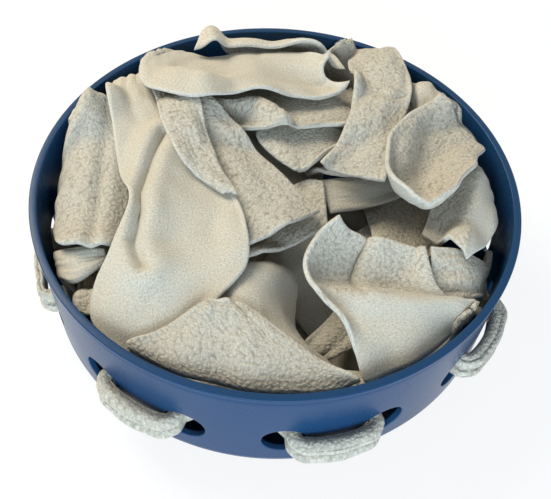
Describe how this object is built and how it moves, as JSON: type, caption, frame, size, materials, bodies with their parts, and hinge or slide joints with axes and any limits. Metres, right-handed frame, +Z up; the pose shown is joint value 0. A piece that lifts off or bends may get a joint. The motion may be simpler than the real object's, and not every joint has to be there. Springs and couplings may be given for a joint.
{
  "type": "snuffle bowl",
  "caption": "Round plastic dog feeding bowl with wide fleece strips laced through holes in its wall and heaped inside as flaps that hide dry food.",
  "frame": {"origin": "centre of the bowl's flat underside, on the floor", "axes": "+Z up along the bowl's axis, -Y towards the front of the picture, +X to its right"},
  "size_m": [0.2996, 0.3026, 0.1092],
  "materials": {
    "bowl_plastic": "glossy moulded blue plastic, darker inside in shadow",
    "fleece": "beige anti-pill fleece, smooth on one side and nubby on the other"
  },
  "bodies": {
    "laced_bowl": {"bowl": "bowl_plastic", "fleece_strip_01_upper": "fleece", "fleece_strip_01_lower": "fleece", "fleece_strip_02_upper": "fleece", "fleece_strip_02_lower": "fleece", "fleece_strip_03_upper": "fleece", "fleece_strip_03_lower": "fleece", "fleece_strip_04_upper": "fleece", "fleece_strip_04_lower": "fleece", "fleece_strip_05_upper": "fleece", "fleece_strip_05_lower": "fleece", "fleece_strip_06_upper": "fleece", "fleece_strip_06_lower": "fleece", "fleece_strip_07_upper": "fleece", "fleece_strip_07_lower": "fleece", "fleece_strip_08_upper": "fleece", "fleece_strip_08_lower": "fleece"},
    "front_flap": {"front_flap": "fleece"},
    "front_right_flap": {"front_right_flap": "fleece"},
    "right_flap": {"right_flap": "fleece"},
    "centre_flap": {"centre_flap": "fleece"}
  },
  "joints": [
    {"name": "front_flap_lift", "type": "hinge", "parent": "laced_bowl", "child": "front_flap", "pos_m": [-0.02014, -0.13197, 0.07487], "axis": [0.9956, -0.0933, 0], "range_deg": [0, 40]},
    {"name": "front_right_flap_lift", "type": "hinge", "parent": "laced_bowl", "child": "front_right_flap", "pos_m": [0.07926, -0.10967, 0.07438], "axis": [0.7875, 0.6163, 0], "range_deg": [0, 35]},
    {"name": "right_flap_lift", "type": "hinge", "parent": "laced_bowl", "child": "right_flap", "pos_m": [0.11266, 0.05821, 0.08682], "axis": [-0.7192, 0.6948, 0], "range_deg": [0, 80]},
    {"name": "centre_flap_lift", "type": "hinge", "parent": "laced_bowl", "child": "centre_flap", "pos_m": [-0.06261, 0.05161, 0.10326], "axis": [-0.9734, -0.2289, 0], "range_deg": [0, 50]}
  ]
}
